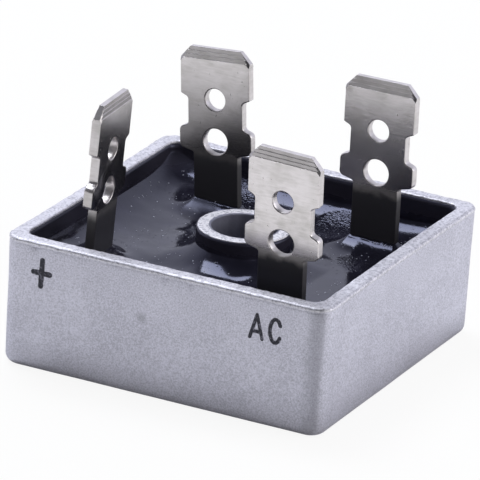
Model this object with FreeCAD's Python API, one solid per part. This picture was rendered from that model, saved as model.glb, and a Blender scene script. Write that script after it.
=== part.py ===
import FreeCAD, Part
import math
import os

V = FreeCAD.Vector

# Square bridge rectifier in an open aluminium case, filled with black potting.
# Millimetres and degrees. The origin is the centre of the mounting bore in the base face,
# +X to the right along the marked front wall, +Y to the back, +Z up.

# Case
case_side = 28.5            # outside width of the square case at half its height
case_height = 11.0          # base face to rim
wall_flare = 0.12           # how much wider all round the rim is than the base
case_wall = 1.2             # wall thickness at half the height
floor_thickness = 1.5
corner_radius = 1.45        # upright outside corners
inner_corner_radius = 1.0   # upright inside corners
base_edge_radius = 0.8      # outside edge round the base face
rim_outer_chamfer = 0.2
rim_inner_chamfer = 0.15
floor_chamfer = 0.45        # inside, between floor and walls and at the foot of the post

# Central post with the mounting bore
bore_diameter = 5.4
post_wall = 1.1
post_drop = 0.6             # rim to the post's top
post_edge_chamfer = 0.2
bore_chamfer = 0.3          # at the base face

# Potting
potting_drop = 3.5          # rim to the flat part of the surface
film_drop = 0.3             # rim to the top of the film on the walls
film_thickness = 0.08       # potting left on walls, post and tabs above the surface
wall_reach = 2.0            # how far out from the walls the climb to the film begins
post_wetting = 2.6          # how far the potting climbs the post
post_reach = 1.3
tab_wetting = 0.9
tab_reach = 1.1
meniscus_steps = 3          # straight stretches that make up a climb

# Blade tabs
tab_width = 6.35
tab_thickness = 0.8
blade_length = 14.5         # tip to the neck inside the potting
tip_corner_width = 0.87     # cut corners of the tip
tip_corner_height = 0.95
head_length = 4.02          # tip to the end of the head's straight side
waist_width = 5.02
waist_length = 2.25         # straight side of the waist
shoulder_slant = 0.3        # how much each shoulder drops over its width
ear_width = 6.62
ear_length = 1.7            # straight side of an ear
stem_width = 4.05
upper_hole_diameter = 1.84
upper_hole_drop = 4.27      # tip to hole centre
lower_hole_diameter = 2.22
lower_hole_drop = 7.82
head_corner_radius = 0.15
waist_corner_radius = 0.32
ear_corner_radius = 0.45
stem_corner_radius = 0.25
coin_steps = 3              # coined steps across the tip, on both faces
coin_pitch = 0.32
coin_depth = 0.06           # each step's depth on one face
corner_bevel_width = 0.25   # coined bevel along the cut corners
corner_bevel_depth = 0.15
neck_length = 1.4           # twisted stretch between upright stem and leaning blade
stem_length = 0.3           # upright stem between the foot's bend and the neck
foot_length = 2.6           # foot beyond the blade's face
foot_bend_radius = 0.4      # inside of the bend between foot and stem

# Parts of the bridge under the potting
insulator_thickness = 0.6
insulator_wall_gap = 0.75   # between the insulator's edge and the case's wall
insulator_corner_radius = 1.0
insulator_post_gap = 0.65   # between the insulator's hole and the post
plate_thickness = 0.8
plate_margin = 1.3          # insulator's edge to a plate's outer edge
plate_post_gap = 1.7        # post to a plate's inner edge
plate_overlap = 2.6         # how far an arm runs past the middle of a side
plate_corner_radius = 0.6
die_side = 4.2
die_thickness = 0.3
solder_thickness = 0.1
solder_under_side = 4.5
solder_over_side = 3.8
solder_foot_margin = 0.25   # solder beyond each side of a tab's foot

# Dependent sizes
case_half = case_side / 2
cavity_half = case_half - case_wall
bore_radius = bore_diameter / 2
post_radius = bore_radius + post_wall
post_height = case_height - post_drop
potting_level = case_height - potting_drop
film_top = case_height - film_drop
insulator_half = cavity_half - insulator_wall_gap
insulator_top = floor_thickness + insulator_thickness
lower_plate_top = insulator_top + plate_thickness
die_bottom = lower_plate_top + solder_thickness
die_top = die_bottom + die_thickness
link_bottom = die_top + solder_thickness
link_top = link_bottom + plate_thickness
plate_outer = insulator_half - plate_margin
plate_inner = post_radius + plate_post_gap
die_offset = (plate_outer + plate_inner) / 2
foot_bend_top = link_top + solder_thickness + tab_thickness + foot_bend_radius
stem_top = foot_bend_top + stem_length
neck_top = stem_top + neck_length
wall_middle = cavity_half + case_wall / 2
overcut = 1.0               # how far a cutting shape runs past the face that it cuts
level_tolerance = 1e-4      # edges this near a height count as lying at it

# Tabs: corner of the case, distance of the stem from the side wall and from the front or
# back wall, height of the blade's foot over neck_top, turn about +Z, sideways lean,
# forward lean, side of the foot, and the plate it stands on.
tabs = {
    "tab_plus": ((-1, -1), (4.06, 4.91), 0.31, 93.7, 0.2, 2.6, -1, lower_plate_top),
    "tab_minus": ((1, 1), (5.40, 4.57), 0.19, -1.5, -1.1, -1.0, -1, lower_plate_top),
    "tab_ac_1": ((1, -1), (5.42, 4.49), -0.21, -2.1, 0.7, 4.2, 1, link_top),
    "tab_ac_2": ((-1, 1), (6.92, 5.13), -0.14, -2.0, -5.4, -2.0, 1, link_top),
}

# Dice: middle of each side of the square
dice = {
    "front": (0, -die_offset),
    "left": (-die_offset, 0),
    "right": (die_offset, 0),
    "back": (0, die_offset),
}

Z_AXIS = V(0, 0, 1)


def outline(corners):
    """Closed wire through (x, y, radius) corners in the plane z = 0, each rounded by its radius."""
    edges = []
    joints = []
    count = len(corners)
    for i, (x, y, radius) in enumerate(corners):
        here = V(x, y, 0)
        to_last = (V(*corners[i - 1][:2], 0) - here).normalize()
        to_next = (V(*corners[(i + 1) % count][:2], 0) - here).normalize()
        if radius == 0:
            joints.append((here, here))
            continue
        half_angle = to_last.getAngle(to_next) / 2
        tangent = radius / math.tan(half_angle)
        start = here + to_last * tangent
        end = here + to_next * tangent
        towards_centre = (to_last + to_next).normalize()
        middle = here + towards_centre * (radius / math.sin(half_angle) - radius)
        edges.append(Part.Arc(start, middle, end).toShape())
        joints.append((start, end))
    for i, (_, end) in enumerate(joints):
        start = joints[(i + 1) % count][0]
        edges.append(Part.LineSegment(end, start).toShape())
    return Part.Wire(Part.__sortEdges__(edges))


def rectangle(half_x, half_y, height):
    """Closed wire with sharp corners round the Z axis at one height."""
    signs = ((1, 1), (-1, 1), (-1, -1), (1, -1), (1, 1))
    return Part.makePolygon([V(sx * half_x, sy * half_y, height) for sx, sy in signs])


def rounded_square(half, radius, height=0.0):
    """Closed wire round the Z axis at one height."""
    signs = ((1, 1), (-1, 1), (-1, -1), (1, -1))
    wire = outline([(sx * half, sy * half, radius) for sx, sy in signs])
    wire.translate(V(0, 0, height))
    return wire


def prism(wire, bottom, top):
    """Upright solid between two heights on a wire of the plane z = 0."""
    solid = Part.Face(wire).extrude(V(0, 0, top - bottom))
    solid.translate(V(0, 0, bottom))
    return solid


def slab(side, thickness, centre, bottom):
    """Square plate lying flat."""
    corner = V(centre[0] - side / 2, centre[1] - side / 2, bottom)
    return Part.makeBox(side, side, thickness, corner)


def edges_at(shape, height, nearest, farthest):
    """Edges that lie flat at one height, their reach along X or Y between two distances."""
    found = []
    for edge in shape.Edges:
        box = edge.BoundBox
        off_level = max(abs(box.ZMin - height), abs(box.ZMax - height))
        extent = max(abs(box.XMin), abs(box.XMax), abs(box.YMin), abs(box.YMax))
        if off_level < level_tolerance and nearest < extent < farthest:
            found.append(edge)
    return found


def climb(reach, rise):
    """(distance from the wetted face, height over the level) along a meniscus, level to top."""
    for i in range(meniscus_steps + 1):
        angle = math.pi / 2 * i / meniscus_steps
        distance = film_thickness + (reach - film_thickness) * (1 - math.sin(angle))
        yield distance, rise * (1 - math.cos(angle))


def make_cavity():
    """Space inside the case, round the post, from the floor to past the rim."""
    wire = rounded_square(cavity_half, inner_corner_radius)
    cavity = prism(wire, floor_thickness, case_height + overcut)
    cavity = cavity.cut(Part.makeCylinder(post_radius, case_height + 2 * overcut))
    return cavity.makeChamfer(floor_chamfer, edges_at(cavity, floor_thickness, 0, case_side))


def make_case(cavity):
    """Aluminium can with floor, flared walls and hollow post in one piece."""
    base = case_half - wall_flare / 2
    rim = case_half + wall_flare / 2
    body = Part.makeWedge(-base, 0, -base, -rim, -rim, base, case_height, base, rim, rim)
    body.rotate(V(0, 0, 0), V(1, 0, 0), 90)
    upright = [edge for edge in body.Edges if edge.BoundBox.ZLength > case_height / 2]
    body = body.makeFillet(corner_radius, upright)
    body = body.makeFillet(base_edge_radius, edges_at(body, 0, 0, case_side))

    body = body.cut(cavity)
    body = body.cut(Part.makeCylinder(post_radius + overcut, case_height, V(0, 0, post_height)))
    body = body.makeChamfer(rim_outer_chamfer, edges_at(body, case_height, wall_middle, case_side))
    body = body.makeChamfer(rim_inner_chamfer, edges_at(body, case_height, post_radius, wall_middle))

    body = body.cut(Part.makeCylinder(bore_radius, case_height + 2 * overcut, V(0, 0, -overcut)))
    body = body.makeChamfer(post_edge_chamfer, edges_at(body, post_height, 0, wall_middle))
    return body.makeChamfer(bore_chamfer, edges_at(body, 0, 0, post_radius))


def post_meniscus():
    """Potting that climbs the post, and the post's own space, over the surface."""
    points = []
    for distance, rise in climb(post_reach, post_wetting):
        points.append(V(post_radius + distance, 0, potting_level + rise))
    low, high = points[0], points[-1]
    points += [V(0, 0, high.z), V(0, 0, low.z - overcut), low - Z_AXIS * overcut, low]
    return Part.Face(Part.makePolygon(points)).revolve(V(0, 0, 0), Z_AXIS, 360)


def stacked(wires):
    """Solid of straight-sided stretches between wires at rising heights."""
    stretches = [Part.makeLoft([low, high], True, True) for low, high in zip(wires, wires[1:])]
    return stretches[0].fuse(stretches[1:])


def stem_meniscus():
    """Potting that climbs a stem on the Z axis, and the stem's own space, over the surface."""
    wires = [rectangle(stem_width / 2 + tab_reach, tab_thickness / 2 + tab_reach, potting_level - overcut)]
    for distance, rise in climb(tab_reach, tab_wetting):
        wire = rectangle(stem_width / 2 + distance, tab_thickness / 2 + distance, potting_level + rise)
        wires.append(wire)
    return stacked(wires)


def make_pool():
    """Open space over the surface, widening up the walls to the film."""
    wires = []
    for distance, rise in climb(wall_reach, film_top - potting_level):
        half = cavity_half - distance
        wires.append(rounded_square(half, inner_corner_radius + distance, potting_level + rise))
    return stacked(wires)


def make_potting(cavity, inner_parts):
    """Fill of the cavity up to its surface, with a meniscus on walls, post and tabs."""
    pool = make_pool().cut(post_meniscus())
    for corner, insets, _, turn, *_ in tabs.values():
        meniscus = stem_meniscus()
        set_in_corner(meniscus, corner, insets, turn)
        pool = pool.cut(meniscus)

    over_film = Part.makeCylinder(case_side, case_height, V(0, 0, film_top))
    fill = cavity.cut(pool).cut(over_film)
    return fill.Solids[0].cut(inner_parts)


def blade_side(side):
    """Corners (across, up from the tip, radius) down one side of the blade, from tip to stem."""
    head, waist = tab_width / 2, waist_width / 2
    ear, stem = ear_width / 2, stem_width / 2
    waist_start = head_length + shoulder_slant
    waist_end = waist_start + waist_length
    ear_start = waist_end + shoulder_slant
    ear_end = ear_start + ear_length
    return [
        (side * (head - tip_corner_width), 0, 0),
        (side * head, -tip_corner_height, 0),
        (side * head, -head_length, head_corner_radius),
        (side * waist, -waist_start, waist_corner_radius),
        (side * waist, -waist_end, waist_corner_radius),
        (side * ear, -ear_start, ear_corner_radius),
        (side * ear, -ear_end, ear_corner_radius),
        (side * stem, -(ear_end + shoulder_slant), stem_corner_radius),
        (side * stem, -blade_length, 0),
    ]


def taper(profile, angle, anchor):
    """Long slab whose half thickness follows (depth from the edge, half thickness) pairs."""
    far = 2 * blade_length
    right = profile + [(far, tab_thickness / 2)]
    points = [V(0, half, -depth) for depth, half in right]
    points += [V(0, -half, -depth) for depth, half in reversed(right)]
    solid = Part.Face(Part.makePolygon(points + points[:1])).extrude(V(far, 0, 0))
    solid.translate(V(-far / 2, 0, 0))
    solid.rotate(V(0, 0, 0), V(0, 1, 0), angle)
    solid.translate(anchor)
    return solid


def make_blade():
    """Flat blade with its tip's middle at the origin, wide along X, thick along Y."""
    wire = outline(blade_side(1) + blade_side(-1)[::-1])
    blade = Part.Face(wire).extrude(V(0, 0, tab_thickness))
    blade.translate(V(0, 0, -tab_thickness / 2))
    blade.rotate(V(0, 0, 0), V(1, 0, 0), 90)

    steps = []
    for i in range(coin_steps):
        half = tab_thickness / 2 - (coin_steps - i) * coin_depth
        steps += [(i * coin_pitch, half), ((i + 1) * coin_pitch, half)]
    steps.append((coin_steps * coin_pitch, tab_thickness / 2))
    blade = blade.common(taper(steps, 0, V(0, 0, 0)))

    bevel = [(0, tab_thickness / 2 - corner_bevel_depth), (corner_bevel_width, tab_thickness / 2)]
    slope = math.degrees(math.atan2(tip_corner_height, tip_corner_width))
    for side in (1, -1):
        middle = V(side * (tab_width - tip_corner_width) / 2, 0, -tip_corner_height / 2)
        blade = blade.common(taper(bevel, side * slope, middle))

    for diameter, drop in ((upper_hole_diameter, upper_hole_drop), (lower_hole_diameter, lower_hole_drop)):
        start = V(0, -tab_thickness, -drop)
        blade = blade.cut(Part.makeCylinder(diameter / 2, 2 * tab_thickness, start, V(0, 1, 0)))
    return blade


def make_foot(bottom, side):
    """Upright stem on a bent foot that lies on a plate, at the Z axis, foot towards side * Y."""
    face = tab_thickness / 2
    inner = foot_bend_radius
    outer = foot_bend_radius + tab_thickness
    heel = side * face
    points = [
        (-heel, stem_top, 0),
        (-heel, bottom, outer),
        (heel + side * foot_length, bottom, 0),
        (heel + side * foot_length, bottom + tab_thickness, 0),
        (heel, bottom + tab_thickness, inner),
        (heel, stem_top, 0),
    ]
    foot = Part.Face(outline(points)).extrude(V(0, 0, stem_width))
    foot.translate(V(0, 0, -stem_width / 2))
    foot.rotate(V(0, 0, 0), V(1, 0, 0), 90)
    foot.rotate(V(0, 0, 0), Z_AXIS, 90)
    return foot


def set_in_corner(shape, corner, insets, turn):
    """Turns a shape about the Z axis and moves it to a tab's place in a corner of the case."""
    shape.rotate(V(0, 0, 0), Z_AXIS, turn)
    x = corner[0] * (cavity_half - insets[0])
    y = corner[1] * (cavity_half - insets[1])
    shape.translate(V(x, y, 0))


def make_tab(corner, insets, seat, turn, side_lean, forward_lean, foot_side, plate_top):
    """Foot, upright stem, twisted neck and leaning blade in one piece."""
    lean = FreeCAD.Rotation(V(0, 1, 0), side_lean).multiply(FreeCAD.Rotation(V(1, 0, 0), forward_lean))
    blade_place = FreeCAD.Placement(V(0, 0, neck_top + seat), lean)

    blade = make_blade()
    blade.translate(V(0, 0, blade_length))
    blade.Placement = blade_place.multiply(blade.Placement)
    blade_end = rectangle(stem_width / 2, tab_thickness / 2, 0)
    blade_end.Placement = blade_place

    stem_end = rectangle(stem_width / 2, tab_thickness / 2, stem_top)
    neck = Part.makeLoft([stem_end, blade_end], True, True)
    tab = make_foot(plate_top + solder_thickness, foot_side).fuse([neck, blade]).removeSplitter()
    set_in_corner(tab, corner, insets, turn)
    return tab


def make_foot_solder(corner, insets, turn, foot_side, plate_top):
    """Solder layer between a tab's foot and its plate."""
    flat_start = tab_thickness / 2 - (foot_bend_radius + tab_thickness) / 2
    flat_end = tab_thickness / 2 + foot_length
    width = stem_width + 2 * solder_foot_margin
    layer = Part.makeBox(width, flat_end - flat_start, solder_thickness)
    layer.translate(V(-width / 2, flat_start, plate_top))
    if foot_side < 0:
        layer = layer.mirror(V(0, 0, 0), V(0, 1, 0))
    set_in_corner(layer, corner, insets, turn)
    return layer


def make_corner_plate(bottom, corner_x, corner_y):
    """L-shaped plate round one corner of the square, its arms reaching past the side's middles."""
    corners = [
        (plate_outer, plate_outer),
        (plate_outer, -plate_overlap),
        (plate_inner, -plate_overlap),
        (plate_inner, plate_inner),
        (-plate_overlap, plate_inner),
        (-plate_overlap, plate_outer),
    ]
    placed = [(corner_x * x, corner_y * y, plate_corner_radius) for x, y in corners]
    return prism(outline(placed), bottom, bottom + plate_thickness)


def make_insulator():
    """Ceramic plate on the case's floor, with a clear hole round the post."""
    wire = rounded_square(insulator_half, insulator_corner_radius)
    plate = prism(wire, floor_thickness, insulator_top)
    return plate.cut(Part.makeCylinder(post_radius + insulator_post_gap, case_height))


def make_die_layers():
    """Dice with the solder under and over each."""
    layers = {}
    for side, centre in dice.items():
        layers[f"solder_under_{side}"] = slab(solder_under_side, solder_thickness, centre, lower_plate_top)
        layers[f"die_{side}"] = slab(die_side, die_thickness, centre, die_bottom)
        layers[f"solder_over_{side}"] = slab(solder_over_side, solder_thickness, centre, die_top)
    return layers


nodes = {}
nodes["insulator_plate"] = make_insulator()
nodes["plus_bus_plate"] = make_corner_plate(insulator_top, -1, -1)
nodes["minus_bus_plate"] = make_corner_plate(insulator_top, 1, 1)
nodes["ac_link_1"] = make_corner_plate(link_bottom, 1, -1)
nodes["ac_link_2"] = make_corner_plate(link_bottom, -1, 1)
nodes.update(make_die_layers())
for name, (corner, insets, seat, turn, side_lean, forward_lean, foot_side, plate_top) in tabs.items():
    nodes[name] = make_tab(corner, insets, seat, turn, side_lean, forward_lean, foot_side, plate_top)
    nodes[f"solder_{name}"] = make_foot_solder(corner, insets, turn, foot_side, plate_top)

cavity_space = make_cavity()
nodes["potting"] = make_potting(cavity_space, list(nodes.values()))
nodes["case"] = make_case(cavity_space)

os.makedirs("parts", exist_ok=True)
for name, shape in nodes.items():
    solids = shape.Solids
    if len(solids) != 1 or not solids[0].isValid():
        raise ValueError(f"{name}: {len(solids)} solids, valid {shape.isValid()}")
    solids[0].exportStep(f"parts/{name}.step")
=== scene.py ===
"""Looks of a square bridge rectifier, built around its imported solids."""

import math

import bmesh
import bpy
from bpy.props import FloatProperty, FloatVectorProperty, IntProperty, PointerProperty
from mathutils import Matrix, Vector, noise


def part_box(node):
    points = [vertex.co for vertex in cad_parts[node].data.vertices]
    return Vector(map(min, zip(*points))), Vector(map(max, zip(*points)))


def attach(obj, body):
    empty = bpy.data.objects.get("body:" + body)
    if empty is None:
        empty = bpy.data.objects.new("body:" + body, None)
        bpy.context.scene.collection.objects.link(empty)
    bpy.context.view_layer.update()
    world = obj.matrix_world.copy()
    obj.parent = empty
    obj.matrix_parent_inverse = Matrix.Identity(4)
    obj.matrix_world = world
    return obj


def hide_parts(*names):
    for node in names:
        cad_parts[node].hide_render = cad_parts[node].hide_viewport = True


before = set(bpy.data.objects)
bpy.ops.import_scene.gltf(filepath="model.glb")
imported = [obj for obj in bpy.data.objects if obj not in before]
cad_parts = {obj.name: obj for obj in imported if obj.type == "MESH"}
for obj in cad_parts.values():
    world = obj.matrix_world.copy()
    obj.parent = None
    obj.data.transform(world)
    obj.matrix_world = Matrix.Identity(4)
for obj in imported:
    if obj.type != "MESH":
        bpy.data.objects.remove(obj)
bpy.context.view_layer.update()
CASE_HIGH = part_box("case")[1]

bl_info = {
    "name": "Bridge rectifier looks",
    "version": (1, 0, 0),
    "blender": (4, 5, 0),
    "location": "3D View > Sidebar > Rectifier",
    "description": "Finishes the case, potting, tabs and prints of a square bridge rectifier",
    "category": "Object",
}

MM = 0.001
BODY = "root"
TAB_NODES = ("tab_plus", "tab_minus", "tab_ac_1", "tab_ac_2")
CERAMIC_NODES = ("insulator_plate",)
COPPER_NODES = ("plus_bus_plate", "minus_bus_plate", "ac_link_1", "ac_link_2")
SILICON_NODES = ("die_front", "die_left", "die_right", "die_back")


def length(name, description, millimetres):
    """Length property with its default in millimetres."""
    return FloatProperty(name=name, description=description, default=millimetres * MM, unit="LENGTH",
                         precision=6)


def share(name, description, value):
    """Plain number property."""
    return FloatProperty(name=name, description=description, default=value, precision=3)


def colour(name, description, value):
    """Colour property."""
    return FloatVectorProperty(name=name, description=description, default=value, subtype="COLOR",
                               size=3, min=0.0, max=1.0)


def angle(name, description, degrees):
    """Angle property with its default in degrees."""
    return FloatProperty(name=name, description=description, default=math.radians(degrees),
                         subtype="ANGLE")


def scaled(factor, shade):
    """A colour made lighter or darker by a factor."""
    return tuple(factor * value for value in shade)


class CaseSettings(bpy.types.PropertyGroup):
    wall: length("Wall", "Wall thickness", 1.2)
    flare: length("Flare", "How far the rim stands out past the base on each side", 0.06)
    corner_radius: length("Corner radius", "Upright outside corners", 1.45)
    inner_corner_radius: length("Inner corner radius", "Upright inside corners", 1.0)
    base_radius: length("Base edge radius", "Outside edge round the base", 0.8)
    rim_radius: length("Rim radius", "Outside edge of the rim", 0.1)
    groove: length("Groove", "Depth of the shallow groove below the rim's lip", 0.025)
    lip: length("Lip", "How far the burred lip of the rim stands out", 0.035)
    bow: length("Bow", "How far the side walls bow inward at mid-span of the rim", 0.18)
    unevenness: length("Unevenness", "Height of the slight waves of walls and rim", 0.03)
    floor: length("Floor", "Floor thickness", 1.5)
    post_radius: length("Post radius", "Outside of the hollow post", 3.8)
    bore_radius: length("Bore radius", "Mounting bore", 2.7)
    post_drop: length("Post drop", "Rim to the post's top", 0.6)
    metal: colour("Metal", "Blasted aluminium", (0.71, 0.70, 0.78))
    shade: colour("Shade", "Darker marks of the blasted surface", (0.42, 0.415, 0.47))
    # Inside: painted shade standing in for the dark wall of the bore
    inside: colour("Inside", "Soiled wall of the bore", (0.30, 0.30, 0.36))
    worn: colour("Worn metal", "Colour of the metal rubbed clean on the rim", (0.95, 0.93, 0.92))
    roughness: share("Roughness", "Roughness of the blasted surface", 0.5)
    grain: length("Grain", "Size of the blasting marks", 0.13)


class PottingSettings(bpy.types.PropertyGroup):
    drop: length("Drop", "Rim to the middle of the surface", 3.5)
    tilt: length("Tilt", "How far the surface stands higher at the left wall than in the middle", 0.3)
    film: length("Film", "Thickness of the film on the walls", 0.06)
    film_drop: length("Film drop", "Rim to the film's top", 0.2)
    film_reach: length("Film reach", "Width of the crease under the film", 0.3)
    wall_reach: length("Wall reach", "Reach of the curve up the walls", 1.45)
    wall_rise: length("Wall rise", "How far the surface climbs the walls", 1.4)
    post_reach: length("Post reach", "Reach of the curve up the post", 1.3)
    post_rise: length("Post rise", "How far the surface climbs the post", 1.5)
    stem_reach: length("Stem reach", "Reach of the curve up the tabs", 0.95)
    stem_rise: length("Stem rise", "How far the surface climbs the tabs", 1.0)
    ripple: length("Ripple", "Height of the slow waves of the surface", 0.035)
    ripple_size: length("Ripple size", "Length of the slow waves", 3.0)
    speck_radius: length("Speck radius", "Largest speck in the surface", 0.065)
    specks: IntProperty(name="Specks", description="Specks per square centimetre", default=115, min=0)
    black: colour("Black", "Cured epoxy", (0.011, 0.0105, 0.018))
    sheen: colour("Sheen", "Tint of what the epoxy mirrors", (0.66, 0.69, 1.0))
    # Colour of the specks: partly dust, partly painted glints of small bubbles
    dust_and_glint: colour("Dust", "Specks in the surface", (0.52, 0.54, 0.66))
    film_tone: colour("Film tone", "Dusty film on the walls", (0.026, 0.024, 0.036))
    roughness: share("Roughness", "Roughness of the cured surface", 0.1)


class TabSettings(bpy.types.PropertyGroup):
    edge: length("Edge", "Rounding of the stamped edges", 0.1)
    plating: colour("Plating", "Tin plating", (0.80, 0.755, 0.75))
    dull: colour("Dull", "Duller patches of the plating", (0.58, 0.55, 0.525))
    scuff: colour("Scuff", "Small scuffs", (0.16, 0.15, 0.15))
    # Painted shade: a dark colour that darkens the reflections of the left and back tabs
    painted_tab_shade: colour("Tarnish", "Tarnished plating on the left and back tabs", (0.10, 0.095, 0.10))
    smear: colour("Smear", "Potting smeared over the stems", (0.03, 0.029, 0.035))
    roughness: share("Roughness", "Roughness of the plating", 0.17)
    smear_low: length("Smear low", "Height up to which potting smears a stem fully", 12.5)
    smear_high: length("Smear high", "Height where the smear has faded out", 13.8)
    # The painted shade on the tabs has faded out at this height
    painted_tab_shade_high: length("Tarnish high", "Height up to which the back tabs are tarnished", 23.0)
    coined: length("Coined", "Length of the coined steps below the tip", 1.02)
    # The coined steps are painted darker: painted shade standing in for their tilt
    coined_painted_shade: share("Coined shade", "Brightness of the coined steps against the blade", 0.62)


class MarkSettings(bpy.types.PropertyGroup):
    ink: colour("Ink", "Printed marks", (0.012, 0.0115, 0.022))
    faded: colour("Faded", "Ink where it has thinned out", (0.17, 0.165, 0.215))
    thickness: length("Thickness", "Thickness of the print", 0.012)
    plus_stroke: length("Plus stroke", "Line width of the plus mark", 0.43)
    letter_stroke: length("Letter stroke", "Line width of the letters", 0.28)


class StageSettings(bpy.types.PropertyGroup):
    azimuth: angle("Azimuth", "Camera's direction round the object", 25.141)
    elevation: angle("Elevation", "Camera's height over the horizon", 21.023)
    roll: angle("Roll", "Camera's roll", -3.696)
    distance: length("Distance", "Camera to the object's origin along the view", 557.44)
    side_offset: length("Side offset", "Object's origin to the right of the view's middle", -0.2616)
    down_offset: length("Down offset", "Object's origin below the view's middle", 8.5485)
    focal_share: share("Focal share", "Focal length over the picture's width", 6905 / 480)
    floor: colour("Floor", "Pale floor", (0.92, 0.92, 0.92))
    floor_glow: share("Floor glow", "How much of the floor the camera sees as plain white", 0.9)
    world_level: share("World level", "Even light from all round", 0.46)
    mirrored: colour("Mirrored", "Backdrop as glossy surfaces mirror it", (0.84, 0.86, 1.0))
    dark_share: share("Dark share", "Mirrored level of the room overhead and behind the camera", 0.1)
    key_power: share("Key power", "Watts of the soft box above", 1.25)
    fill_power: share("Fill power", "Watts of the lamp at the right", 0.75)


class Tree:
    """Writes a node tree as a chain of small expressions."""

    def __init__(self, tree):
        self.tree = tree

    def feed(self, socket, value):
        """Links a socket to another one, or sets its plain value."""
        if isinstance(value, bpy.types.NodeSocket):
            self.tree.links.new(value, socket)
        else:
            socket.default_value = value

    def node(self, kind, inputs=None, **settings):
        """New node with its settings made and its inputs fed."""
        made = self.tree.nodes.new(kind)
        for name, value in settings.items():
            setattr(made, name, value)
        for key, value in (inputs or {}).items():
            self.feed(made.inputs[key], value)
        return made

    def math(self, operation, *values, clamp=False):
        """Result of one sum on sockets and numbers."""
        inputs = dict(enumerate(values))
        return self.node("ShaderNodeMath", inputs, operation=operation, use_clamp=clamp).outputs[0]

    def plus(self, first, *others):
        """Sum of sockets and numbers."""
        for other in others:
            first = self.math("ADD", first, other)
        return first

    def times(self, first, *others):
        """Product of sockets and numbers."""
        for other in others:
            first = self.math("MULTIPLY", first, other)
        return first

    def step(self, value, low, high, out_low=0.0, out_high=1.0):
        """Smooth step from out_low at low to out_high at high."""
        inputs = {"Value": value, "From Min": low, "From Max": high, "To Min": out_low, "To Max": out_high}
        return self.node("ShaderNodeMapRange", inputs, interpolation_type="SMOOTHSTEP").outputs[0]

    def apart(self, vector):
        """The three parts of a vector."""
        return tuple(self.node("ShaderNodeSeparateXYZ", {0: vector}).outputs)

    def distance(self, vector, point):
        """Distance between two points."""
        inputs = {0: vector, 1: point}
        return self.node("ShaderNodeVectorMath", inputs, operation="DISTANCE").outputs["Value"]

    def from_axis(self, vector, x=0.0, y=0.0):
        """Distance from the upright line through a place in plan."""
        parts = self.apart(vector)
        flat = self.node("ShaderNodeCombineXYZ", {"X": parts[0], "Y": parts[1]}).outputs[0]
        return self.distance(flat, (x, y, 0.0))

    def stretched(self, vector, scale):
        """Coordinates stretched by a factor along each axis."""
        return self.node("ShaderNodeMapping", {"Vector": vector, "Scale": scale}).outputs[0]

    def noise(self, vector, size, detail=2.0, roughness=0.5, seed=0.0):
        """Noise from 0 to 1 with waves about the given size, in metres."""
        inputs = {"Vector": vector, "Scale": 1 / size, "Detail": detail, "Roughness": roughness, "W": seed}
        return self.node("ShaderNodeTexNoise", inputs, noise_dimensions="4D").outputs[0]

    def cells(self, vector, size, randomness=1.0):
        """Distance to the nearest of scattered points, in cells."""
        inputs = {"Vector": vector, "Scale": 1 / size, "Randomness": randomness}
        return self.node("ShaderNodeTexVoronoi", inputs).outputs["Distance"]

    def mix(self, factor, first, second):
        """Mix of two colours: the first one at 0, the second one at 1."""
        made = self.node("ShaderNodeMix", {"Factor": factor}, data_type="RGBA")
        for socket, value in ((made.inputs[6], first), (made.inputs[7], second)):
            self.feed(socket, value if isinstance(value, bpy.types.NodeSocket) else (*value, 1.0))
        return made.outputs[2]

    def bump(self, height, depth, strength=1.0, normal=None):
        """Normal bent by a height from 0 to 1 over a depth in metres."""
        inputs = {"Height": height, "Distance": depth, "Strength": strength}
        if normal is not None:
            inputs["Normal"] = normal
        return self.node("ShaderNodeBump", inputs).outputs[0]


def new_material(name):
    """(material, its tree, its shader, Object coordinates)"""
    material = bpy.data.materials.new(name)
    material.use_nodes = True
    tree = Tree(material.node_tree)
    shader = material.node_tree.nodes["Principled BSDF"]
    coordinates = tree.node("ShaderNodeTexCoord").outputs["Object"]
    return material, tree, shader, coordinates


def link_mesh(name, mesh):
    """Object of a mesh, linked to the scene."""
    made = bpy.data.objects.new(name, mesh)
    bpy.context.scene.collection.objects.link(made)
    return made


def mesh_object(name, points, faces, smooth=True):
    """Object of points and faces, its normals outward."""
    mesh = bpy.data.meshes.new(name)
    mesh.from_pydata(points, [], faces)
    work = bmesh.new()
    work.from_mesh(mesh)
    bmesh.ops.recalc_face_normals(work, faces=work.faces)
    work.to_mesh(mesh)
    work.free()
    mesh.polygons.foreach_set("use_smooth", [smooth] * len(mesh.polygons))
    mesh.update()
    return link_mesh(name, mesh)


def bake(piece):
    """Turns a piece's modifiers into a plain mesh."""
    evaluated = piece.evaluated_get(bpy.context.evaluated_depsgraph_get())
    plain = bpy.data.meshes.new_from_object(evaluated)
    piece.modifiers.clear()
    old = piece.data
    piece.data = plain
    bpy.data.meshes.remove(old)
    plain.name = piece.name
    return piece


def finish_piece(piece, slot, *nodes):
    """Sets a finished piece on its body and hides the nodes that it stands for."""
    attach(piece, BODY)
    if nodes:
        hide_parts(*nodes)


def rounded_square(half, radius, per_side, per_corner):
    """Points once round a rounded square, anticlockwise."""
    flat = half - radius
    points = []
    for quarter in range(4):
        turn = Matrix.Rotation(quarter * math.pi / 2, 2)
        for i in range(per_side):
            points.append(turn @ Vector((half, flat * (2 * i / per_side - 1))))
        for i in range(per_corner):
            at = math.pi / 2 * i / per_corner
            points.append(turn @ Vector((flat + radius * math.cos(at), flat + radius * math.sin(at))))
    return points


def circle_like(radius, points):
    """Points round a circle in the directions of other points."""
    return [point.normalized() * radius for point in points]


def closed_band(loops):
    """Faces between loops of equally many points, the last loop joined to the first."""
    count = len(loops[0])
    faces = []
    for k in range(len(loops)):
        here, there = k * count, (k + 1) % len(loops) * count
        for i in range(count):
            j = (i + 1) % count
            faces.append((here + i, here + j, there + j, there + i))
    return faces


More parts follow.
